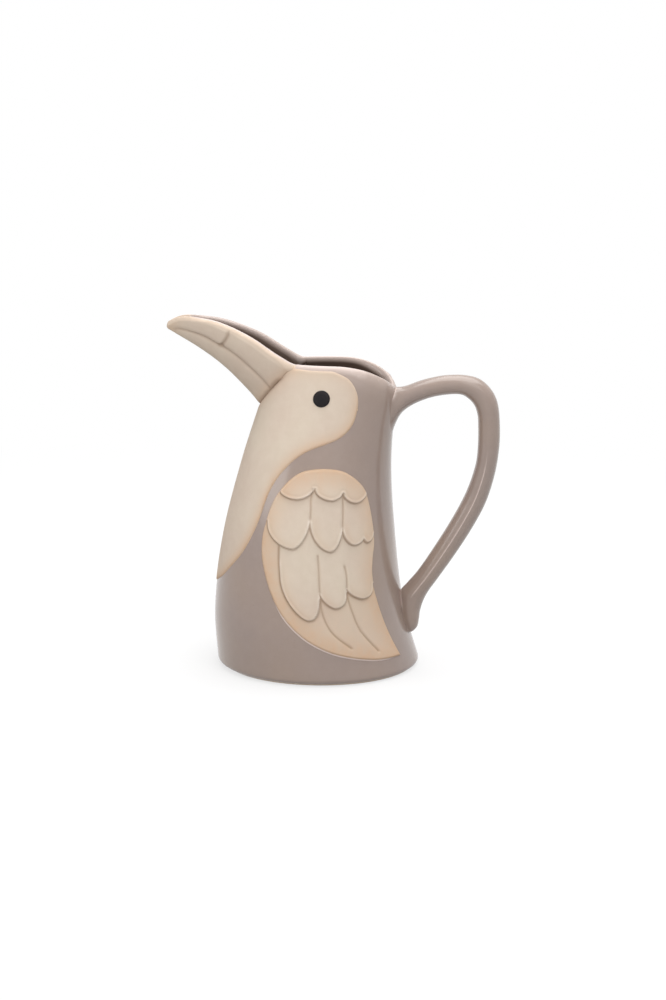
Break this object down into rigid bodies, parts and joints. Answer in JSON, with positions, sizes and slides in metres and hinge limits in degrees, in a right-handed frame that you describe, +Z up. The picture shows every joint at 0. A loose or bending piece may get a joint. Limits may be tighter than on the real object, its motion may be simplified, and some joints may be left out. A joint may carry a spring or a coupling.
{
  "type": "bird-shaped jug",
  "caption": "Free-standing stoneware jug shaped like a big-billed bird: oval glazed body, open pouring beak, bare clay bib and feathered wings, loop handle.",
  "frame": {"origin": "middle of the oval foot, on the face that the jug stands on", "axes": "+Z up, +X from the beak to the handle, -Y to the bird's left side"},
  "size_m": [0.2, 0.1132, 0.2117],
  "materials": {
    "taupe_glaze": "gloss glaze, warm taupe",
    "bare_clay": "matt bare clay, cream with toasted edges",
    "eye_glaze": "satin near-black glaze"
  },
  "bodies": {
    "root": {"body_wall": "taupe_glaze", "floor_disc": "taupe_glaze", "foot_ring": "bare_clay", "handle": "taupe_glaze", "beak_trough": "bare_clay", "upper_beak_left": "bare_clay", "upper_beak_right": "bare_clay", "beak_tip_left": "bare_clay", "beak_tip_right": "bare_clay", "breast_bib": "bare_clay", "eye_left": "eye_glaze", "eye_right": "eye_glaze", "wing_left": "bare_clay", "wing_right": "bare_clay", "primaries_left": "bare_clay", "primaries_right": "bare_clay", "secondaries_left": "bare_clay", "secondaries_right": "bare_clay", "coverts_left": "bare_clay", "coverts_right": "bare_clay"}
  },
  "joints": []
}
